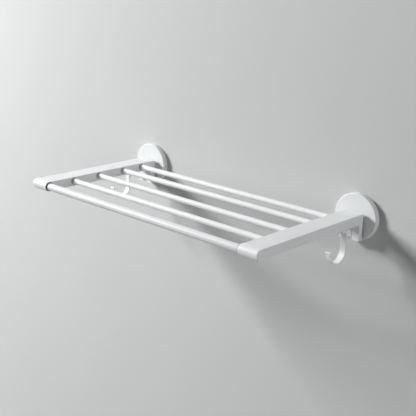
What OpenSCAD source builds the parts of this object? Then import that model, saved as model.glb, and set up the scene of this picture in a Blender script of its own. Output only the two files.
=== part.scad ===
// Wall mounted fold down drying rack.
// X runs along the wall, +Y points into the wall, +Z is up. The wall is the plane y = 0 and
// the origin is midway between the two wall plates, at the height of their centres.
// The rack is drawn folded down, ready for use. It folds up about a pin in each heel.

/* [Rack frame] */
// distance between the centre lines of the two arms
arm_spacing = 530; // [300:5:900]
// width of an arm, seen from above
arm_width = 40; // [38:0.5:44]
// height of an arm's side
arm_height = 18; // [18:0.5:20]
// thickness of the arm's extruded wall
arm_wall = 2; // [1.6:0.1:2.2]
// height of an arm's middle above the middle of the wall discs
arm_rise = 2; // [0:0.5:3]
// distance from the wall to the centre of the front tube
front_reach = 293.5; // [280:0.5:420]
// distances from the wall to the four drying rods
rod_reach = [55, 105.5, 170.5, 234]; // [50:0.5:245]

/* [Rods and front tube] */
// outer diameter of a drying rod
rod_d = 10.6; // [9:0.1:11]
// wall thickness of a drying rod
rod_wall = 1; // [0.8:0.1:1.5]
// height of the rods above the middle of the arms
rod_rise = 1.1; // [0.8:0.1:1.2]
// outer diameter of the front tube
tube_d = 14; // [12:0.5:14]
// wall thickness of the front tube
tube_wall = 1.5; // [1:0.1:2]
// how far the rounded end collars stand proud of the arms
collar_proud = 0.5; // [0.3:0.1:0.8]

/* [Wall discs] */
// diameter of the round cover over a wall plate
cover_d = 86; // [84:1:100]
// distance that the cover stands out from the wall
cover_depth = 11; // [11:0.5:12]
// thickness of the cover's shell
cover_wall = 2; // [1.5:0.1:2.5]
// diameter of the steel wall plate
plate_d = 74; // [72:1:76]
// thickness of the wall plate
plate_t = 3; // [2.5:0.1:3.5]
// sideways and upward distance of each wall screw from the middle of its plate
screw_offset = 22; // [21:0.5:23]
// diameter of the wall screw holes
wall_hole_d = 5.5; // [4.5:0.1:6]

/* [Hinge] */
// distance from the wall to the pivot pin
pivot_reach = 24; // [24:0.5:26]
// height of the pivot pin above the middle of the wall discs
pivot_z = 3; // [2.5:0.1:3.5]
// diameter of the pivot pin
pin_d = 6; // [5:0.5:6]
// thickness of the hinge tongue, along the pin
tongue_t = 10; // [8:0.5:10]
// width of the slot that the heel leaves for the tongue
heel_slot = 12; // [12:0.5:14]
// depth of the heel below the middle of the wall discs
heel_drop = 37; // [36:0.5:39]
// gap between the heel and the face of the cover
heel_gap = 5; // [4.5:0.1:6]
// thickness of the heel below the arm, from the wall towards the room
heel_t = 10; // [10:0.5:12]

/* [Hooks] */
// width of a hook's flat strip
hook_w = 12; // [9:0.5:12]
// thickness of the strip
hook_t = 2.5; // [2:0.1:3]
// inner radius of a hook's bend
hook_r = 20; // [14:0.5:22]
// distance from the arm down to the centre of the bend
hook_drop = 36; // [34:0.5:52]
// distance from the wall to the left hook's stem
left_hook_reach = 64; // [50:1:240]
// distance from the wall to the right hook's stem
right_hook_reach = 64; // [50:1:240]

/* [Hidden] */
$fn = 64;
white = [0.93, 0.94, 0.95];
satin_white = [0.88, 0.89, 0.90];
grey_rubber = [0.25, 0.26, 0.27];
bare_steel = [0.66, 0.67, 0.69];
nylon = [0.85, 0.86, 0.86];

over = 0.5;              // how far a cutting tool runs past what it cuts
running = 0.05;          // radial clearance of the pin in the tongue
gap = 0.3;               // gap between parts that move past each other
tenon_fit = 0.1;         // gap around a tenon or rail inside an arm

arm_x = arm_spacing / 2;
arm_top = arm_rise + arm_height / 2;
arm_bottom = arm_rise - arm_height / 2;
arm_corner_r = 1;
inner_w = arm_width - 2 * arm_wall;
inner_top = arm_top - arm_wall;
inner_bottom = arm_bottom + arm_wall;
tenon_half = inner_w / 2 - tenon_fit;
slide_slot = 8;          // width of the slot in the underside of an arm
slide_x = 11;            // middle of that slot, outwards from the arm's middle

rod_r = rod_d / 2;
rod_z = arm_rise + rod_rise;
rod_stop = 3;            // a rod stops this far short of the arm's middle
rod_end_x = arm_x - rod_stop;
grommet_wall = 1.1;
grommet_r = rod_r + grommet_wall;
grommet_proud = 0.4;
grommet_len = 3.4;
rail_in = 16;            // side of the socket rail towards the rods, from the arm's middle
rail_out = 1;
rail_wall = 0.8;
rail_bottom = rod_z - rod_r - rail_wall;
rail_past_rods = 10;
rail_reach = [min(rod_reach) - rail_past_rods, max(rod_reach) + rail_past_rods];

tube_r = tube_d / 2;
tube_past_middle = 12;
tube_end_x = arm_x + tube_past_middle;
collar_r = arm_height / 2 + collar_proud;
collar_half = arm_width / 2 + collar_proud;
collar_flat = 5.5;       // length of the collar behind the tube's centre
collar_back = front_reach - collar_flat;
collar_edge_r = 1.2;
collar_tenon = 18;
seal_r = collar_r - 0.9;
seal_proud = 1.2;
seal_depth = 1.3;
collar_screw_r = 1.5;
collar_screw_head_r = 2.8;
collar_screw_head_t = 1;
collar_screw_sunk = 0.2;

cover_r = cover_d / 2;
cover_edge_r = 1.5;
plate_r = plate_d / 2;
plate_rim_t = 2;
plate_rim_depth = 8;
grub_r = 2;
grub_y = 5.5;
grub_sunk = 0.3;
grub_socket = 1.7;       // depth of a grub screw's hexagon socket

heel_back = cover_depth + heel_gap;
heel_front = heel_back + heel_t;
heel_tenon = 10;
heel_edge_r = 0.8;
pin_r = pin_d / 2;
eye_wall = 2.5;
eye_r = pin_r + eye_wall;
heel_slot_depth = pivot_reach + eye_r + 1;
cheek = (arm_width - heel_slot) / 2;
cap_r = 4;
cap_t = 1.5;
washer_play = 0.1;       // gap on each flat side of a washer
washer_t = (heel_slot - tongue_t) / 2 - 2 * washer_play;
washer_r = eye_r - gap;
tongue_front = heel_front;
tongue_back = pivot_reach - eye_r;
neck_bottom = 5 - heel_drop;
neck_h = 12;             // height of the tongue where it leaves the disc
neck_mid = neck_bottom + neck_h / 2;
neck_gap = 1.5;          // gap around the tongue where it passes through the cover
flange_half_x = 14;
flange_y = [plate_t, plate_rim_depth];
flange_screw_x = 9.5;
flange_screw_r = 2.5;
flange_head_r = 4.2;
flange_head_t = 1.5;
pad_r = 4.5;
pad_x = heel_slot / 2 + cheek / 2;
pad_z = -30;
pad_stem_r = 2;
pad_stem_len = 3.8;
pad_hole = 4;
heel_screw_x = [-12, 2.5];
heel_screw_reach = heel_front + 7.4;
heel_screw_r = 1.6;
heel_screw_head_r = 3;
heel_screw_head_t = 1.4;
heel_screw_len = 8;

slider_len = 18;
slider_half_w = 8;
slider_head_half = 6;
slider_head_top = inner_bottom + 3;
slider_foot_t = 2;
slider_foot_top = arm_bottom - gap;
slider_foot_bottom = slider_foot_top - slider_foot_t;
hook_bend_z = arm_bottom - hook_drop;
hook_root = 8;           // depth of the stem where it meets the slider
hook_taper = 26;         // length over which the root thins to the strip
hook_tab = 11;           // how far the top of the hook reaches in front of its stem
hook_tip = 2;            // height of the hook's tip above the centre of its bend
hook_x = 14;             // middle of the strip, outwards from the arm's middle
hook_lip_r = 2;          // radius of the rolled lip at the tip
hook_lip_out = 0.5;
rivet_r = 2.5;
rivet_head_r = 3;
rivet_head_t = 1.2;
rivet_ahead = 5.5;       // from the stem forward to the rivet
slider_ahead = 3;        // from the stem forward to the middle of the slider

// Places a part drawn about an arm's middle, with +X pointing to the outer side of the rack.
module on_side(side) {
    mirror([side < 0 ? 1 : 0, 0, 0]) translate([arm_x, 0, 0]) children();
}

// A box given by its lowest and highest corners.
module box(low, high) {
    translate(low) cube(high - low);
}

// A cylinder along +X, +Y (into the wall) or +Z, from a starting point.
module bar_x(start, r, len) {
    translate(start) rotate([0, 90, 0]) cylinder(r = r, h = len);
}

module bar_y(start, r, len) {
    translate(start) rotate([-90, 0, 0]) cylinder(r = r, h = len);
}

module bar_z(start, r, len) {
    translate(start) cylinder(r = r, h = len);
}

// An outline drawn with x to the room and y up, made solid along X about the arm's middle.
module side_profile(width) {
    translate([-width / 2, 0, 0]) rotate([90, 0, 90]) linear_extrude(width)
        mirror([1, 0]) children();
}

// A rectangle with rounded corners, given by its lowest and highest corners.
module rounded_rect(low, high, r) {
    translate([low.x + r, low.y]) square([high.x - low.x - 2 * r, high.y - low.y]);
    translate([low.x, low.y + r]) square([high.x - low.x, high.y - low.y - 2 * r]);
    for (x = [low.x + r, high.x - r], y = [low.y + r, high.y - r])
        translate([x, y]) circle(r = r, $fn = 32);
}

// ---- fixed to the wall ----

module wall_plate(side) {
    color(bare_steel) on_side(side) difference() {
        union() {
            bar_y([0, -plate_t, 0], plate_r, plate_t);
            difference() {
                bar_y([0, -plate_rim_depth, 0], plate_r, plate_rim_depth);
                bar_y([0, -plate_rim_depth - over, 0], plate_r - plate_rim_t, plate_rim_depth);
            }
        }
        for (x = [-screw_offset, screw_offset], z = [-screw_offset, screw_offset])
            bar_y([x, -plate_t - over, z], wall_hole_d / 2, plate_t + 2 * over);
        for (x = [-flange_screw_x, flange_screw_x]) {
            bar_y([x, -plate_t - over, neck_mid], flange_screw_r, plate_t + 2 * over);
            bar_y([x, -flange_head_t, neck_mid], flange_head_r, flange_head_t + over);
        }
    }
}

// The cover's outline from its middle to its rim, with a rounded front edge.
function cover_outline(r, depth, edge) = concat(
    [[0, 0], [r, 0]],
    [for (a = [0:15:90]) [r - edge + edge * cos(a), depth - edge + edge * sin(a)]],
    [[0, depth]]
);

module cover_disc(side) {
    color(white) on_side(side) difference() {
        rotate([90, 0, 0]) rotate_extrude($fn = 96)
            polygon(cover_outline(cover_r, cover_depth, cover_edge_r));
        bar_y([0, -cover_depth + cover_wall, 0], cover_r - cover_wall, cover_depth);
        box([-tongue_t / 2 - neck_gap, -cover_depth - over, neck_bottom - neck_gap],
            [tongue_t / 2 + neck_gap, -cover_depth + cover_wall + over, neck_bottom + neck_h + neck_gap]);
        bar_z([0, -grub_y, -cover_r - over], grub_r, cover_wall + 2 * over);
    }
}

module cover_grub_screw(side) {
    color(bare_steel) on_side(side) difference() {
        bar_z([0, -grub_y, grub_sunk - cover_r], grub_r, cover_r - grub_sunk - plate_r);
        translate([0, -grub_y, -cover_r]) cylinder(r = grub_r / 2, h = grub_sunk + grub_socket, $fn = 6);
    }
}

// The tongue leaves the disc low down and rises to the pin, so that the heel can turn over it.
module hinge_tongue(side) {
    color(satin_white) on_side(side) difference() {
        union() {
            bar_x([-tongue_t / 2, -pivot_reach, pivot_z], eye_r, tongue_t);
            box([-tongue_t / 2, -tongue_front, neck_bottom], [tongue_t / 2, -tongue_back, pivot_z]);
            box([-tongue_t / 2, -tongue_front, neck_bottom],
                [tongue_t / 2, -flange_y[0], neck_bottom + neck_h]);
            box([-flange_half_x, -flange_y[1], neck_bottom],
                [flange_half_x, -flange_y[0], neck_bottom + neck_h]);
        }
        bar_x([-tongue_t, -pivot_reach, pivot_z], pin_r + running, 2 * tongue_t);
        for (x = [-flange_screw_x, flange_screw_x])
            bar_y([x, -flange_y[1] - over, neck_mid], flange_screw_r, flange_y[1]);
    }
}

module tongue_screws(side) {
    color(bare_steel) on_side(side)
        for (x = [-flange_screw_x, flange_screw_x]) {
            bar_y([x, -flange_y[1], neck_mid], flange_screw_r, flange_y[1] - flange_head_t);
            bar_y([x, -flange_head_t, neck_mid], flange_head_r, flange_head_t);
        }
}

// ---- the folding frame ----

// The round holes for a pin and the caps over its two ends.
module pivot_bore() {
    bar_x([-arm_width, -pivot_reach, pivot_z], pin_r, 2 * arm_width);
    for (x = [-arm_width / 2 - over, arm_width / 2 - cap_t])
        bar_x([x, -pivot_reach, pivot_z], cap_r, cap_t + over);
}

// The blind hole for the front tube, opened out at its mouth for the seal.
module tube_bore() {
    bar_x([-collar_half - over, -front_reach, arm_rise], tube_r, tube_past_middle + collar_half + over);
    bar_x([-collar_half - over, -front_reach, arm_rise], seal_r, seal_depth + over);
}

// The extruded arm: a flat box section, open underneath along a narrow slot.
module arm(side) {
    color(white) on_side(side) difference() {
        translate([0, -heel_front, 0]) rotate([90, 0, 0]) linear_extrude(collar_back - heel_front)
            difference() {
                rounded_rect([-arm_width / 2, arm_bottom], [arm_width / 2, arm_top], arm_corner_r);
                translate([-inner_w / 2, inner_bottom]) square([inner_w, inner_top - inner_bottom]);
                translate([slide_x - slide_slot / 2, arm_bottom - over])
                    square([slide_slot, arm_wall + 2 * over]);
            }
        for (reach = rod_reach)
            bar_x([-arm_width / 2 - over, -reach, rod_z], grommet_r, over + grommet_len - grommet_proud);
        pivot_bore();
        tube_bore();
        for (x = heel_screw_x) {
            bar_z([x, -heel_screw_reach, arm_bottom - over], heel_screw_r, arm_wall + 2 * over);
            bar_z([x, -heel_screw_reach, arm_bottom - over], heel_screw_head_r, heel_screw_head_t + over);
        }
    }
}

// The heel carries the arm on the pin and bears on the wall disc below it.
module arm_heel(side) {
    color(white) on_side(side) difference() {
        union() {
            translate([0, -heel_back, 0]) rotate([90, 0, 0]) linear_extrude(heel_t)
                rounded_rect([-arm_width / 2, -heel_drop], [arm_width / 2, arm_top], heel_edge_r);
            box([-tenon_half, -heel_front - heel_tenon, inner_bottom + tenon_fit],
                [tenon_half, -heel_front, inner_top - tenon_fit]);
        }
        box([-heel_slot / 2, -heel_slot_depth, -heel_drop - over],
            [heel_slot / 2, -heel_back + over, inner_top - tenon_fit]);
        pivot_bore();
        for (x = [-pad_x, pad_x])
            bar_y([x, -heel_back - pad_hole, pad_z], pad_stem_r, pad_hole + over);
        for (x = heel_screw_x)
            bar_z([x, -heel_screw_reach, inner_bottom], heel_screw_r, heel_screw_len - arm_wall);
    }
}

module heel_screws(side) {
    color(bare_steel) on_side(side) for (x = heel_screw_x) difference() {
        union() {
            bar_z([x, -heel_screw_reach, arm_bottom], heel_screw_r, heel_screw_len);
            bar_z([x, -heel_screw_reach, arm_bottom], heel_screw_head_r, heel_screw_head_t);
        }
        translate([x, -heel_screw_reach, arm_bottom - over])
            cylinder(r = heel_screw_r * 0.7, h = 1 + over, $fn = 6);
    }
}

module heel_pads(side) {
    color(grey_rubber) on_side(side) for (x = [-pad_x, pad_x]) {
        bar_y([x, -heel_back, pad_z], pad_r, heel_gap - gap);
        bar_y([x, -heel_back - pad_stem_len, pad_z], pad_stem_r, pad_stem_len + gap);
    }
}

module pivot_pin(side) {
    half = arm_width / 2 - cap_t;
    color(bare_steel) on_side(side) bar_x([-half, -pivot_reach, pivot_z], pin_r, 2 * half);
}

module pivot_washers(side) {
    color(nylon) on_side(side)
        for (x = [washer_play - heel_slot / 2, tongue_t / 2 + washer_play]) difference() {
            bar_x([x, -pivot_reach, pivot_z], washer_r, washer_t);
            bar_x([x - over, -pivot_reach, pivot_z], pin_r + running, washer_t + 2 * over);
        }
}

module pivot_caps(side) {
    color(white) on_side(side) for (x = [-arm_width / 2, arm_width / 2 - cap_t])
        bar_x([x, -pivot_reach, pivot_z], cap_r, cap_t);
}

// One end of a rectangle of half-sizes r and half, with its two corners rounded.
function rounded_end(r, half, edge) = concat(
    [for (a = [-90:15:0]) [r - edge + edge * cos(a), -half + edge + edge * sin(a)]],
    [for (a = [0:15:90]) [r - edge + edge * cos(a), half - edge + edge * sin(a)]]
);

// The rounded nose of an arm. A half turn of its outline meets a short flat length of the same outline.
module end_collar(side) {
    nose = rounded_end(collar_r, collar_half, collar_edge_r);
    color(white) on_side(side) difference() {
        union() {
            translate([0, -front_reach, arm_rise]) rotate([0, 90, 0]) rotate([0, 0, 180])
                rotate_extrude(angle = 180, $fn = 96)
                    polygon(concat([[0, -collar_half]], nose, [[0, collar_half]]));
            translate([0, -collar_back, arm_rise]) rotate([90, 0, 0]) rotate([0, 0, 90])
                linear_extrude(collar_flat)
                    polygon(concat(nose, [for (p = nose) -p]));
            box([-tenon_half, -collar_back, inner_bottom + tenon_fit],
                [tenon_half, collar_tenon - collar_back, inner_top - tenon_fit]);
        }
        tube_bore();
        bar_z([0, -front_reach, arm_rise - collar_r - over], collar_screw_r, collar_r);
        bar_z([0, -front_reach, arm_rise - collar_r - over], collar_screw_head_r,
            over + collar_screw_sunk + collar_screw_head_t);
    }
}

module collar_seal(side) {
    color(grey_rubber) on_side(side) difference() {
        bar_x([-collar_half - seal_proud, -front_reach, arm_rise], seal_r, seal_proud + seal_depth);
        bar_x([-collar_half - seal_proud - over, -front_reach, arm_rise], tube_r,
            seal_proud + seal_depth + 2 * over);
    }
}

module collar_screw(side) {
    bottom = arm_rise - collar_r + collar_screw_sunk;
    color(bare_steel) on_side(side) difference() {
        union() {
            bar_z([0, -front_reach, bottom], collar_screw_r, collar_r - tube_r - collar_screw_sunk);
            bar_z([0, -front_reach, bottom], collar_screw_head_r, collar_screw_head_t);
        }
        translate([0, -front_reach, bottom - over])
            cylinder(r = collar_screw_r * 0.7, h = over + collar_screw_head_t * 0.7, $fn = 6);
    }
}

module front_tube() {
    color(white) difference() {
        bar_x([-tube_end_x, -front_reach, arm_rise], tube_r, 2 * tube_end_x);
        bar_x([-tube_end_x - over, -front_reach, arm_rise], tube_r - tube_wall, 2 * tube_end_x + 2 * over);
    }
}

module drying_rod(reach) {
    color(white) difference() {
        bar_x([-rod_end_x, -reach, rod_z], rod_r, 2 * rod_end_x);
        bar_x([-rod_end_x - over, -reach, rod_z], rod_r - rod_wall, 2 * rod_end_x + 2 * over);
    }
}

// Dark soft rings that line the holes where the rods enter an arm.
module rod_grommets(side) {
    start = -arm_width / 2 - grommet_proud;
    color(grey_rubber) on_side(side) for (reach = rod_reach) difference() {
        bar_x([start, -reach, rod_z], grommet_r, grommet_len);
        bar_x([start - over, -reach, rod_z], rod_r, grommet_len + 2 * over);
    }
}

// A bar inside the arm that holds the ends of the rods.
module rod_socket_rail(side) {
    color(bare_steel) on_side(side) difference() {
        box([-rail_in, -rail_reach[1], rail_bottom], [rail_out, -rail_reach[0], inner_top - tenon_fit]);
        for (reach = rod_reach)
            bar_x([-rail_in - over, -reach, rod_z], rod_r, rail_in + over - rod_stop);
    }
}

// ---- sliding hooks ----

function hook_reach(side) = side < 0 ? left_hook_reach : right_hook_reach;

module hook_slider(side) {
    mid = hook_reach(side) + slider_ahead;
    color(nylon) on_side(side) difference() {
        union() {
            box([slide_x - slider_head_half, -mid - slider_len / 2, inner_bottom + gap],
                [slide_x + slider_head_half, -mid + slider_len / 2, slider_head_top]);
            box([slide_x - slide_slot / 2 + gap, -mid - slider_len / 2, slider_foot_top],
                [slide_x + slide_slot / 2 - gap, -mid + slider_len / 2, inner_bottom + gap]);
            box([slide_x - slider_half_w, -mid - slider_len / 2, slider_foot_bottom],
                [slide_x + slider_half_w, -mid + slider_len / 2, slider_foot_top]);
        }
        bar_z([slide_x, -hook_reach(side) - rivet_ahead, slider_foot_bottom - over], rivet_r,
            slider_head_top - slider_foot_bottom + 2 * over);
    }
}

// A flat strip bent into a J that opens to the room, thickened at its root.
module j_hook(side) {
    reach = hook_reach(side);
    bend = reach + hook_r;
    top = slider_foot_bottom;
    tip_top = hook_bend_z + hook_tip;
    color(white) on_side(side) difference() {
        translate([hook_x, 0, 0]) side_profile(hook_w) {
            translate([reach - hook_t, hook_bend_z]) square([hook_t, top - hook_bend_z]);
            translate([bend, hook_bend_z]) difference() {
                circle(r = hook_r + hook_t, $fn = 96);
                circle(r = hook_r, $fn = 96);
                translate([-2 * hook_r, 0]) square([4 * hook_r, 2 * hook_r]);
            }
            translate([bend + hook_r, hook_bend_z]) square([hook_t, hook_tip]);
            translate([bend + hook_r + hook_t / 2 + hook_lip_out, tip_top]) circle(r = hook_lip_r, $fn = 32);
            polygon([
                [reach + hook_tab, top], [reach - hook_root, top], [reach - hook_root, top - hook_t],
                [reach - hook_t, top - hook_taper], [reach, top - hook_taper],
                [reach, top - hook_t], [reach + hook_tab, top - hook_t]
            ]);
        }
        bar_z([slide_x, -reach - rivet_ahead, top - hook_t - over], rivet_r, hook_t + 2 * over);
    }
}

module hook_rivet(side) {
    rivet_reach = hook_reach(side) + rivet_ahead;
    top = slider_foot_bottom - hook_t;
    color(bare_steel) on_side(side) {
        bar_z([slide_x, -rivet_reach, top], rivet_r, slider_head_top - top);
        bar_z([slide_x, -rivet_reach, top - rivet_head_t], rivet_head_r, rivet_head_t);
    }
}

wall_plate(-1);  // wall_plate_left
wall_plate(1);  // wall_plate_right
cover_disc(-1);  // cover_disc_left
cover_disc(1);  // cover_disc_right
cover_grub_screw(-1);  // cover_grub_screw_left
cover_grub_screw(1);  // cover_grub_screw_right
hinge_tongue(-1);  // hinge_tongue_left
hinge_tongue(1);  // hinge_tongue_right
tongue_screws(-1);  // tongue_screws_left
tongue_screws(1);  // tongue_screws_right
arm(-1);  // arm_left
arm(1);  // arm_right
arm_heel(-1);  // arm_heel_left
arm_heel(1);  // arm_heel_right
heel_screws(-1);  // heel_screws_left
heel_screws(1);  // heel_screws_right
heel_pads(-1);  // heel_pads_left
heel_pads(1);  // heel_pads_right
pivot_pin(-1);  // pivot_pin_left
pivot_pin(1);  // pivot_pin_right
pivot_washers(-1);  // pivot_washers_left
pivot_washers(1);  // pivot_washers_right
pivot_caps(-1);  // pivot_caps_left
pivot_caps(1);  // pivot_caps_right
end_collar(-1);  // end_collar_left
end_collar(1);  // end_collar_right
collar_seal(-1);  // collar_seal_left
collar_seal(1);  // collar_seal_right
collar_screw(-1);  // collar_screw_left
collar_screw(1);  // collar_screw_right
front_tube();
drying_rod(rod_reach[0]);  // drying_rod_1
drying_rod(rod_reach[1]);  // drying_rod_2
drying_rod(rod_reach[2]);  // drying_rod_3
drying_rod(rod_reach[3]);  // drying_rod_4
rod_grommets(-1);  // rod_grommets_left
rod_grommets(1);  // rod_grommets_right
rod_socket_rail(-1);  // rod_socket_rail_left
rod_socket_rail(1);  // rod_socket_rail_right
hook_slider(-1);  // hook_slider_left
hook_slider(1);  // hook_slider_right
j_hook(-1);  // j_hook_left
j_hook(1);  // j_hook_right
hook_rivet(-1);  // hook_rivet_left
hook_rivet(1);  // hook_rivet_right
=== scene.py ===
import math

import bmesh
import bpy
from mathutils import Matrix, Vector


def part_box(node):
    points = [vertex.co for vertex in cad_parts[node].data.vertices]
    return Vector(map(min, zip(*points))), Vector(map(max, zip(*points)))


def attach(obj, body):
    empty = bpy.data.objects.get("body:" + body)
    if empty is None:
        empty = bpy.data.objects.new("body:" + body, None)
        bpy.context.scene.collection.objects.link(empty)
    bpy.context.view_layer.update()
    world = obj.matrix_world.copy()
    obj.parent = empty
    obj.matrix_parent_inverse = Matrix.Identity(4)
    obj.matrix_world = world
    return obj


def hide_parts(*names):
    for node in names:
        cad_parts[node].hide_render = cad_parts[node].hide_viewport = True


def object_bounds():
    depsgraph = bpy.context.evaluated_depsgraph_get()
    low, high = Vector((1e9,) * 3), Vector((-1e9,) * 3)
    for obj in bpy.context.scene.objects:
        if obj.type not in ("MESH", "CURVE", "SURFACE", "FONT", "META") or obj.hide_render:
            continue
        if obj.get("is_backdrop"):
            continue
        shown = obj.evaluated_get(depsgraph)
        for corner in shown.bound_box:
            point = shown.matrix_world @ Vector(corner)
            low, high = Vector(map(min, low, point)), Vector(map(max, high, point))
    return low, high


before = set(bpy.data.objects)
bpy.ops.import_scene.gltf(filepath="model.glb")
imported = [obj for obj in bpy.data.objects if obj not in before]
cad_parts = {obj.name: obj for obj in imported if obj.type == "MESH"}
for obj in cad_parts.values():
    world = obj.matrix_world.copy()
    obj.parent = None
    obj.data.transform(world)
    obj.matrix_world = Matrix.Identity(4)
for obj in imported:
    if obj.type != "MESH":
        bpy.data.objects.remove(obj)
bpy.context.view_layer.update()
SIDES = ("left", "right")


# ---------------------------------------------------------------- wall plates
# Each plate is a pressed steel dish with a raised rim, zinc plated and left bare.
# Four screws through its corners hold the whole rack on the wall.

class Line:
    """One output of a material's nodes. Arithmetic on it adds the Math nodes."""

    def __init__(self, socket):
        self.socket = socket
        self.tree = socket.id_data

    def node(self, kind, settings=None, sockets=None, out=0):
        """Adds a node: its settings first, then the value or the line of each socket."""
        new = self.tree.nodes.new(kind)
        for name, value in (settings or {}).items():
            if name == "stops":
                ramp = new.color_ramp.elements
                for stop, (place, shade) in zip((ramp[0], ramp[1]), value):
                    stop.position = place
                    stop.color = (shade, shade, shade, 1)
            else:
                setattr(new, name, value)
        for name, value in (sockets or {}).items():
            if isinstance(value, Line):
                self.tree.links.new(value.socket, new.inputs[name])
            else:
                new.inputs[name].default_value = value
        return Line(new.outputs[out])

    def math(self, operation, first, second=0.0):
        return self.node("ShaderNodeMath", {"operation": operation}, {0: first, 1: second})

    def __add__(self, other):
        return self.math("ADD", self, other)

    __radd__ = __add__

    def __sub__(self, other):
        return self.math("SUBTRACT", self, other)

    def __rsub__(self, other):
        return self.math("SUBTRACT", other, self)

    def __mul__(self, other):
        return self.math("MULTIPLY", self, other)

    __rmul__ = __mul__

    def __pow__(self, other):
        return self.math("POWER", self, other)

    def noise(self, scale, detail=2.0, roughness=0.5):
        """Cloudy variation from 0 to 1, with features about 1 / scale metres wide."""
        return self.node("ShaderNodeTexNoise", None,
                         {"Vector": self, "Scale": scale, "Detail": detail, "Roughness": roughness})

    def stretched(self, x, y, z):
        return self.node("ShaderNodeVectorMath", {"operation": "MULTIPLY"}, {0: self, 1: (x, y, z)})

    def masked(self, low, high):
        """0 below low and 1 above high."""
        return self.node("ShaderNodeMapRange", {"clamp": True},
                         {"Value": self, "From Min": low, "From Max": high})

    def tint(self, dark, light):
        """A colour between dark and light, by this line."""
        return self.node("ShaderNodeMix", {"data_type": "RGBA"},
                         {0: self, 6: (*dark, 1), 7: (*light, 1)}, out=2)

    def bump(self, depth, strength=1.0, over=None):
        sockets = {"Height": self, "Distance": depth, "Strength": strength}
        if over:
            sockets["Normal"] = over
        return self.node("ShaderNodeBump", None, sockets)

    def feed(self, shader, socket):
        self.tree.links.new(self.socket, shader.inputs[socket])


def new_finish(name, **constants):
    """A material, its shader with those constants, and the place on the piece in metres."""
    material = bpy.data.materials.new(name)
    material.use_nodes = True
    shader = material.node_tree.nodes["Principled BSDF"]
    for socket, value in constants.items():
        shader.inputs[socket.replace("_", " ")].default_value = value
    place = material.node_tree.nodes.new("ShaderNodeTexCoord").outputs["Object"]
    return material, shader, Line(place)


def paint_node(node, material):
    """Gives a CAD piece its real finish."""
    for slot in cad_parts[node].material_slots:
        slot.material = material


def zinc_plate():
    material, shader, place = new_finish("zinc plated steel", Metallic=1.0)
    spangle = place.node("ShaderNodeTexVoronoi", {"feature": "F1"},
                         {"Vector": place, "Scale": 190.0, "Randomness": 1.0})
    stain = place.noise(38.0, 4.0)
    grain = place.noise(2200.0, 1.0)
    (0.65 * spangle + 0.35 * stain).tint((0.50, 0.51, 0.53), (0.72, 0.73, 0.75)).feed(shader, "Base Color")
    (0.30 + 0.22 * stain + 0.06 * grain).feed(shader, "Roughness")
    (grain + 0.5 * spangle).bump(0.00003, 0.5).feed(shader, "Normal")
    return material


plate_zinc = zinc_plate()
for side in SIDES:
    paint_node(f"wall_plate_{side}", plate_zinc)


# ---------------------------------------------------------------- wall discs
# A shallow round steel cap, powder coated satin white, slips over each wall plate.
# A grub screw underneath locks it to the plate's rim.

DUST = 0.30
PEEL_DEPTH = 0.000035


def powder_coat(name, colour, roughness):
    """Satin powder: orange peel, thicker and thinner areas, and a little dust on what faces up."""
    material, shader, place = new_finish(name, IOR=1.5, Coat_Roughness=0.25)
    facing = Line(place.socket.node.outputs["Normal"])
    upward = facing.node("ShaderNodeSeparateXYZ", None, {"Vector": facing}, out=2).masked(0.35, 1.0)
    thickness = place.noise(14.0, 3.0).masked(0.28, 0.72)
    settled = upward * place.noise(60.0, 5.0, 0.62).masked(0.42, 0.75)
    rubbed = place.noise(33.0, 4.0, 0.6).masked(0.55, 0.8)
    peel = place.noise(760.0, 2.0, 0.55)
    grain = place.noise(3600.0, 1.0)
    thin = tuple(0.965 * part for part in colour)
    dusty = tuple(part * fade for part, fade in zip(colour, (0.955, 0.945, 0.925)))
    coat = thickness.tint(thin, colour)
    coat = coat.node("ShaderNodeMix", {"data_type": "RGBA"},
                     {0: DUST * settled, 6: coat, 7: (*dusty, 1)}, out=2)
    coat.feed(shader, "Base Color")
    (roughness + 0.05 * thickness + 0.16 * settled - 0.07 * rubbed).feed(shader, "Roughness")
    (0.10 + 0.12 * rubbed).feed(shader, "Coat Weight")
    (peel + 0.25 * grain).bump(PEEL_DEPTH, 0.6).feed(shader, "Normal")
    return material


disc_coat = powder_coat("white powder coat, wall discs", (0.86, 0.875, 0.88), 0.44)


def stainless(name, lay):
    """Bare stainless steel. lay stretches its fine tool marks along one direction."""
    material, shader, place = new_finish(name, Metallic=1.0)
    marks = place.stretched(*lay).noise(1.0, 3.0, 0.6)
    tarnish = place.noise(70.0, 3.0)
    tarnish.tint((0.46, 0.45, 0.44), (0.63, 0.63, 0.63)).feed(shader, "Base Color")
    (0.24 + 0.16 * marks + 0.10 * tarnish).feed(shader, "Roughness")
    marks.bump(0.00002, 0.4).feed(shader, "Normal")
    return material


screw_steel = stainless("stainless steel, screws", (2600.0, 2600.0, 420.0))
for side in SIDES:
    paint_node(f"cover_disc_{side}", disc_coat)
    paint_node(f"cover_grub_screw_{side}", screw_steel)


# ---------------------------------------------------------------- hinge tongues
# A goose-necked steel tongue is screwed to each plate and carries the pivot pin.
# The pin is pressed into the heel, turns in the tongue and runs between nylon washers.

tongue_coat = powder_coat("white powder coat, hinge tongues", (0.82, 0.835, 0.84), 0.46)
pin_steel = stainless("ground steel, pivot pins", (160.0, 3000.0, 3000.0))


def nylon(name, colour):
    """Moulded nylon: milky, waxy, with a fine spark-eroded mould texture."""
    material, shader, place = new_finish(name, IOR=1.53, Subsurface_Weight=0.25, Subsurface_Scale=0.002)
    flow = place.stretched(30.0, 90.0, 30.0).noise(1.0, 3.0)
    pits = place.noise(1900.0, 2.0)
    flow.tint(tuple(0.94 * part for part in colour), colour).feed(shader, "Base Color")
    (0.42 + 0.10 * flow + 0.05 * pits).feed(shader, "Roughness")
    pits.bump(0.00004, 0.5).feed(shader, "Normal")
    return material


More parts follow.
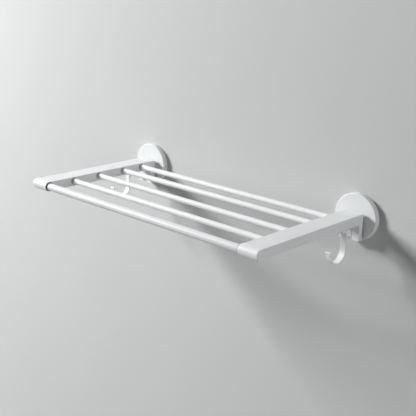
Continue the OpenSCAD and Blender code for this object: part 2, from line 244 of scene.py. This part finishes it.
washer_nylon = nylon("natural nylon, washers", (0.78, 0.78, 0.75))
cap_nylon = nylon("white nylon, pivot caps", (0.84, 0.85, 0.855))
for side in SIDES:
    paint_node(f"hinge_tongue_{side}", tongue_coat)
    paint_node(f"tongue_screws_{side}", screw_steel)
    paint_node(f"pivot_pin_{side}", pin_steel)
    paint_node(f"pivot_washers_{side}", washer_nylon)
    paint_node(f"pivot_caps_{side}", cap_nylon)


# ---------------------------------------------------------------- heels
# A cast heel plugs into the back of each arm and is fixed with two screws from below.
# Two rubber pads on its foot rest on the wall disc and stop the rack level.

heel_coat = powder_coat("white powder coat, heels", (0.85, 0.865, 0.87), 0.43)


def rubber(name, colour):
    """Moulded rubber: matt, slightly bloomed where it isn't rubbed."""
    material, shader, place = new_finish(name, IOR=1.45)
    shader.inputs["Specular IOR Level"].default_value = 0.35
    bloom = place.noise(210.0, 4.0, 0.6)
    skin = place.noise(2600.0, 2.0)
    bloom.tint(colour, tuple(1.7 * part + 0.01 for part in colour)).feed(shader, "Base Color")
    (0.62 + 0.20 * bloom).feed(shader, "Roughness")
    skin.bump(0.00005, 0.6).feed(shader, "Normal")
    return material


def turned(shape, outline, middle, axis, steps=72):
    """Adds a piece turned about an axis, from an outline of (place along the axis, radius)."""
    rings = []
    for step in range(steps):
        angle = 2 * math.pi * step / steps
        up, out = math.sin(angle), math.cos(angle)
        rings.append([shape.verts.new(middle + Vector((along, radius * out, radius * up) if axis == "x"
                                                      else (radius * out, along, radius * up)))
                      for along, radius in outline])
    for ring, after in zip(rings, rings[1:] + rings[:1]):
        for start in range(len(outline)):
            end = (start + 1) % len(outline)
            if outline[start][1] + outline[end][1] > 0:
                shape.faces.new((ring[start], ring[end], after[end], after[start]))
    bmesh.ops.remove_doubles(shape, verts=shape.verts, dist=1e-7)


SMOOTH_ANGLE = math.radians(35)


def finished(name, shape, material, body, node):
    """Makes the piece from its shape. It rides on its body and stands for a CAD piece."""
    bmesh.ops.recalc_face_normals(shape, faces=shape.faces)
    mesh = bpy.data.meshes.new(name)
    shape.to_mesh(mesh)
    shape.free()
    mesh.shade_smooth()
    mesh.set_sharp_from_angle(angle=SMOOTH_ANGLE)
    mesh.materials.append(material)
    piece = bpy.data.objects.new(name, mesh)
    bpy.context.scene.collection.objects.link(piece)
    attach(piece, body)
    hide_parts(node)
    return piece


def rounded(middle, radius, start, end, steps):
    """Points of a rounded edge: an arc from one angle to another, in degrees."""
    angles = [math.radians(start + (end - start) * step / steps) for step in range(steps + 1)]
    return [(middle[0] + radius * math.cos(angle), middle[1] + radius * math.sin(angle))
            for angle in angles]


PAD_STEM_R = 0.002
PAD_STEM_LONG = 0.0038
PAD_EDGE = 0.0011
PAD_DOME = 0.0002
PAD_BACK_EDGE = 0.0003
PAD_STEM_EDGE = 0.0004
pad_rubber = rubber("grey rubber, heel pads", (0.10, 0.102, 0.105))
for side in SIDES:
    paint_node(f"arm_heel_{side}", heel_coat)
    paint_node(f"heel_screws_{side}", screw_steel)
    low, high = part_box(f"heel_pads_{side}")
    pad_r = (high.z - low.z) / 2
    thick = high.y - low.y - PAD_STEM_LONG
    stem_end = -thick - PAD_STEM_LONG
    dome = [((1 - (radius / (pad_r - PAD_EDGE)) ** 2) * PAD_DOME - PAD_DOME, radius)
            for radius in (0.6 * pad_r, 0.3 * pad_r, 0.0)]
    profile = ([(stem_end, 0.0), (stem_end, PAD_STEM_R - PAD_STEM_EDGE),
                (stem_end + PAD_STEM_EDGE, PAD_STEM_R), (-thick, PAD_STEM_R),
                (-thick, pad_r - PAD_BACK_EDGE), (-thick + PAD_BACK_EDGE, pad_r)]
               + rounded((-PAD_DOME - PAD_EDGE, pad_r - PAD_EDGE), PAD_EDGE, 90, 0, 6) + dome)
    pads = bmesh.new()
    for middle_x in (low.x + pad_r, high.x - pad_r):
        turned(pads, profile, Vector((middle_x, high.y, (low.z + high.z) / 2)), "y")
    finished(f"domed_heel_pads_{side}", pads, pad_rubber, "rack", f"heel_pads_{side}")


# ---------------------------------------------------------------- arms
# Each arm is a flat aluminium extrusion, slotted along its underside for the hook,
# cut square at both ends and powder coated after cutting.

arm_coat = powder_coat("white powder coat, arms", (0.845, 0.86, 0.865), 0.42)


def mill_aluminium():
    material, shader, place = new_finish("mill aluminium, socket rails", Metallic=1.0)
    draw = place.stretched(2400.0, 14.0, 2400.0).noise(1.0, 2.0)
    cloud = place.noise(45.0, 3.0)
    cloud.tint((0.62, 0.63, 0.64), (0.76, 0.77, 0.78)).feed(shader, "Base Color")
    (0.30 + 0.18 * draw).feed(shader, "Roughness")
    draw.bump(0.00002, 0.5).feed(shader, "Normal")
    return material


rail_aluminium = mill_aluminium()
for side in SIDES:
    paint_node(f"arm_{side}", arm_coat)
    paint_node(f"rod_socket_rail_{side}", rail_aluminium)


# ---------------------------------------------------------------- end collars
# A die-cast collar with a round nose closes each arm and holds one end of the front tube.
# A soft dark grey rubber ring seals the tube's mouth and a countersunk screw underneath locks it. Its
# near-black colour is also painted shade for the shadowed gap round the tube.

# The collars' white is painted a little lighter than the arms'. This painted light stands for their
# brightly lit tops.
lightened_collar_coat = powder_coat("white powder coat with painted light, end collars", (0.88, 0.89, 0.895), 0.42)
# The seals and grommets share one near-black rubber. It is real rubber, and its dark colour is also painted
# shade standing for the gap round each tube and rod.
rubber_and_gap_shade = rubber("dark rubber and painted gap shade, seals and grommets", (0.075, 0.077, 0.08))


def soft_ring(shape, side, low, high, middle, bore, outer, round_r, lip_back):
    """Adds a rubber ring round a tube. Its lip faces the rods, and its back sits in the metal."""
    inward = 1 if side == "left" else -1
    face = high.x if side == "left" else low.x
    back = low.x - high.x
    lip = (rounded((-round_r, bore + round_r), round_r, 270, 360, 5)
           + rounded((-round_r, outer - round_r), round_r, 0, 90, 5))
    outline = [(back, bore)] + lip + [(-lip_back, outer), (back, outer)]
    turned(shape, [(inward * along, radius) for along, radius in outline],
           Vector((face, middle[0], middle[1])), "x")


SEAL_ROUND = 0.0007
SEAL_LIP = 0.0012
tube_low, tube_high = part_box("front_tube")
tube_middle = ((tube_low.y + tube_high.y) / 2, (tube_low.z + tube_high.z) / 2)
for side in SIDES:
    paint_node(f"end_collar_{side}", lightened_collar_coat)
    paint_node(f"collar_screw_{side}", screw_steel)
    low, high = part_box(f"collar_seal_{side}")
    seal = bmesh.new()
    soft_ring(seal, side, low, high, tube_middle, (tube_high.z - tube_low.z) / 2,
              (high.z - low.z) / 2, SEAL_ROUND, SEAL_LIP)
    finished(f"collar_ring_{side}", seal, rubber_and_gap_shade, "rack", f"collar_seal_{side}")


# ---------------------------------------------------------------- front tube and rods
# The front tube and four drying rods are thin steel tubes, powder coated white.
# The rods pass through soft grommets into a rail hidden in each arm. The grommets' near-black colour is
# also painted shade for the gap round each rod.

# The tube and rods are painted a darker white than the collars and hooks. This painted shade holds down
# their highlights.
shaded_tube_coat = powder_coat("white powder coat with painted shade, front tube", (0.80, 0.815, 0.82), 0.52)
shaded_rod_coat = powder_coat("white powder coat with painted shade, rods", (0.84, 0.85, 0.855), 0.54)
paint_node("front_tube", shaded_tube_coat)
for number in range(1, 5):
    paint_node(f"drying_rod_{number}", shaded_rod_coat)

GROMMET_ROUND = 0.00035
GROMMET_LIP = 0.0006
for side in SIDES:
    low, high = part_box(f"rod_grommets_{side}")
    grommets = bmesh.new()
    for number in range(1, 5):
        rod_low, rod_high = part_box(f"drying_rod_{number}")
        rod_middle = ((rod_low.y + rod_high.y) / 2, (rod_low.z + rod_high.z) / 2)
        soft_ring(grommets, side, low, high, rod_middle, (rod_high.z - rod_low.z) / 2,
                  (high.z - low.z) / 2, GROMMET_ROUND, GROMMET_LIP)
    finished(f"rod_rings_{side}", grommets, rubber_and_gap_shade, "rack", f"rod_grommets_{side}")


# ---------------------------------------------------------------- hooks
# A J-hook bent from flat steel strip hangs under each arm, powder coated white.
# A steel rivet joins it to a nylon slider that runs in the arm's slot.

# The hooks' white is painted lighter than the rest of the white coats. This painted light stands in for the
# key light that the arm's shadow keeps off their tops.
lightened_hook_coat = powder_coat("white powder coat with painted light, hooks", (0.93, 0.935, 0.94), 0.40)
slider_nylon = nylon("white nylon, sliders", (0.80, 0.805, 0.80))
STRIP_T = 0.0025
BEND_R = 0.020
ROOT_DEEP = 0.008
ROOT_LONG = 0.026
TAB_AHEAD = 0.011
TAB_FILLET = 0.003
LIP_R = 0.002
LIP_OUT = 0.0005
TIP_RISE = 0.002
TIP_NARROW = 0.26
EDGE_BREAK = 0.0005
ROOT_STEPS = 12
for side in SIDES:
    paint_node(f"hook_slider_{side}", slider_nylon)
    paint_node(f"hook_rivet_{side}", screw_steel)
    low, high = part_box(f"j_hook_{side}")
    stem, top = ROOT_DEEP - high.y, high.z
    bend = (stem + BEND_R, low.z + BEND_R + STRIP_T)
    lip = (bend[0] + BEND_R + STRIP_T / 2 + LIP_OUT, bend[1] + TIP_RISE)
    root = [(stem - STRIP_T - (ROOT_DEEP - STRIP_T) * (step / ROOT_STEPS) ** 2,
             top - ROOT_LONG + (ROOT_LONG - STRIP_T) * step / ROOT_STEPS) for step in range(ROOT_STEPS + 1)]
    outline = ([(stem + TAB_AHEAD, top), (stem + TAB_AHEAD, top - STRIP_T)]
               + rounded((stem + TAB_FILLET, top - STRIP_T - TAB_FILLET), TAB_FILLET, 90, 180, 8)
               + rounded(bend, BEND_R, 180, 360, 48)
               + rounded(lip, LIP_R, 205, -35, 16)
               + rounded(bend, BEND_R + STRIP_T, 360, 180, 48)
               + root + [(stem - ROOT_DEEP, top)])
    hook = bmesh.new()
    middle_x, half = (low.x + high.x) / 2, (high.x - low.x) / 2
    edges = []
    for way in (-1, 1):
        edge = []
        for depth, height in outline:
            turn = math.atan2(height - bend[1], depth - bend[0])
            narrow = 0.0
            if depth > bend[0] and turn < 0:
                narrow = TIP_NARROW * max(0.0, 1 + turn / (0.5 * math.pi))
            elif depth > bend[0] and height <= lip[1] - 0.8 * LIP_R:
                narrow = TIP_NARROW
            edge.append(hook.verts.new((middle_x + way * half * (1 - narrow), -depth, height)))
        edges.append(edge)
        hook.faces.new(edge)
    for start in range(len(outline)):
        end = (start + 1) % len(outline)
        hook.faces.new((edges[0][start], edges[0][end], edges[1][end], edges[1][start]))
    strip = finished(f"bent_hook_{side}", hook, lightened_hook_coat, f"{side}_hook", f"j_hook_{side}")
    edge_break = strip.modifiers.new("broken edges", "BEVEL")
    edge_break.width = EDGE_BREAK
    edge_break.segments = 3
    edge_break.limit_method = "ANGLE"
    edge_break.angle_limit = math.radians(50)
    edge_break.harden_normals = True


# ---------------------------------------------------------------- wall and floor
# The rack hangs on a smooth plastered wall, painted pale grey with a short-nap roller.
# The wall is open behind each plate and clear from its back, so the rack shows from there too.

def wall_paint():
    material, shader, place = new_finish("pale grey wall paint", IOR=1.45)
    shader.inputs["Specular IOR Level"].default_value = 0.15
    nap = place.noise(420.0, 3.0, 0.6)
    trowel = place.noise(1.6, 2.0)
    trowel.tint((0.60, 0.603, 0.604), (0.64, 0.643, 0.644)).feed(shader, "Base Color")
    (0.80 + 0.1 * nap).feed(shader, "Roughness")
    (0.6 * nap).bump(0.0001, 0.25).feed(shader, "Normal")
    back = place.node("ShaderNodeNewGeometry").socket.node.outputs["Backfacing"]
    clear = place.node("ShaderNodeBsdfTransparent")
    shown = place.node("ShaderNodeMixShader", None,
                       {0: Line(back), 1: Line(shader.outputs[0]), 2: clear})
    shown.feed(material.node_tree.nodes["Material Output"], "Surface")
    return material


def flat_stage(name, faces, material):
    """Flat faces of a wall or a floor, each a list of corners."""
    mesh = bpy.data.meshes.new(name)
    corners = [corner for face in faces for corner in face]
    starts = [sum(len(face) for face in faces[:index]) for index in range(len(faces))]
    mesh.from_pydata(corners, [], [tuple(range(start, start + len(face)))
                                   for start, face in zip(starts, faces)])
    mesh.materials.append(material)
    stage = bpy.data.objects.new(name, mesh)
    bpy.context.scene.collection.objects.link(stage)
    stage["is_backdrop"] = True


WALL_Y = 0.0004
WALL_HALF = 4.0
OPEN_R = 0.040
FRAME_HALF = 0.1
OPEN_STEPS = 64
wall_faces = []


def wall_face(low_x, low_z, high_x, high_z):
    wall_faces.append([(low_x, WALL_Y, low_z), (high_x, WALL_Y, low_z),
                       (high_x, WALL_Y, high_z), (low_x, WALL_Y, high_z)])


disc_low, disc_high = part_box("cover_disc_right")
disc_x = (disc_low.x + disc_high.x) / 2
wall_face(-WALL_HALF, -WALL_HALF, WALL_HALF, -FRAME_HALF)
wall_face(-WALL_HALF, FRAME_HALF, WALL_HALF, WALL_HALF)
for low_x, high_x in ((-WALL_HALF, -disc_x - FRAME_HALF), (FRAME_HALF - disc_x, disc_x - FRAME_HALF),
                      (disc_x + FRAME_HALF, WALL_HALF)):
    wall_face(low_x, -FRAME_HALF, high_x, FRAME_HALF)
for middle in (-disc_x, disc_x):
    for step in range(OPEN_STEPS):
        rim = []
        for turn in (step, step + 1):
            angle = 2 * math.pi * turn / OPEN_STEPS
            reach = FRAME_HALF / max(abs(math.cos(angle)), abs(math.sin(angle)))
            rim.append([(middle + r * math.cos(angle), WALL_Y, r * math.sin(angle))
                        for r in (OPEN_R, reach)])
        wall_faces.append([rim[0][0], rim[0][1], rim[1][1], rim[1][0]])
wall_coat = wall_paint()
flat_stage("wall", wall_faces, wall_coat)
FLOOR_Z = -1.7
flat_stage("floor", [[(-WALL_HALF, -2 * WALL_HALF, FLOOR_Z), (WALL_HALF, -2 * WALL_HALF, FLOOR_Z),
                      (WALL_HALF, WALL_Y, FLOOR_Z), (-WALL_HALF, WALL_Y, FLOOR_Z)]], wall_coat)


# ---------------------------------------------------------------- studio light
# One large soft light stands high on the left, in front of the wall.
# A weak panel fills the right side, and another behind the wall lights the plates' backs.
# A pale backdrop shows to the camera where no wall does, and gives no light.

RACK_MIDDLE = (0.0, -0.1, 0.0)
WALL_MIDDLE = (0.0, 0.0, 0.0)
ROOM_STRENGTH = 0.05


def panel(name, place, aim, size, power):
    lamp = bpy.data.lights.new(name, "AREA")
    lamp.shape = "DISK"
    lamp.size = size
    lamp.energy = power
    holder = bpy.data.objects.new(name, lamp)
    holder.location = place
    holder.rotation_euler = (Vector(aim) - Vector(place)).to_track_quat("-Z", "Y").to_euler()
    bpy.context.scene.collection.objects.link(holder)


panel("key light", (-2.95, -1.9, 1.65), RACK_MIDDLE, 1.1, 200.0)
panel("fill light", (2.9, -0.5, 0.45), RACK_MIDDLE, 1.0, 16.5)
panel("back light", (0.6, 2.2, 0.9), WALL_MIDDLE, 3.0, 150.0)

bpy.context.scene.view_settings.view_transform = "Standard"
world = bpy.data.worlds.new("pale room")
bpy.context.scene.world = world
world.use_nodes = True
room_light = world.node_tree.nodes["Background"]
room_light.inputs["Color"].default_value = (0.80, 0.82, 0.84, 1)
room_light.inputs["Strength"].default_value = ROOM_STRENGTH
seen = world.node_tree.nodes.new("ShaderNodeLightPath")
backdrop = Line(seen.outputs["Is Camera Ray"])
pale = backdrop.node("ShaderNodeBackground", None, {"Color": (0.62, 0.63, 0.64, 1), "Strength": 1.0})
backdrop.node("ShaderNodeMixShader", None, {0: backdrop, 1: Line(room_light.outputs[0]), 2: pale}).feed(
    world.node_tree.nodes["World Output"], "Surface")


# ---------------------------------------------------------------- camera
# The viewer stands to the right of the rack, a little above it, and looks back along the wall.

YAW, PITCH, ROLL = 0.7494, 0.2884, 0.0270
EYE = (1.0391, -1.2240, 0.4294)
LENS_MM = 72.55
VIEW_END = 30.0
ahead = Vector((-math.sin(YAW) * math.cos(PITCH), math.cos(YAW) * math.cos(PITCH), -math.sin(PITCH)))
level = Vector((math.cos(YAW), math.sin(YAW), 0.0))
raised = level.cross(ahead)
across = math.cos(ROLL) * level + math.sin(ROLL) * raised
upright = math.cos(ROLL) * raised - math.sin(ROLL) * level
lens = bpy.data.cameras.new("camera")
lens.lens = LENS_MM
lens.clip_end = VIEW_END
camera = bpy.data.objects.new("camera", lens)
camera.matrix_world = Matrix.Translation(EYE) @ Matrix(
    (across, upright, -ahead)).transposed().to_4x4()
bpy.context.scene.collection.objects.link(camera)
bpy.context.scene.camera = camera

low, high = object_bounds()
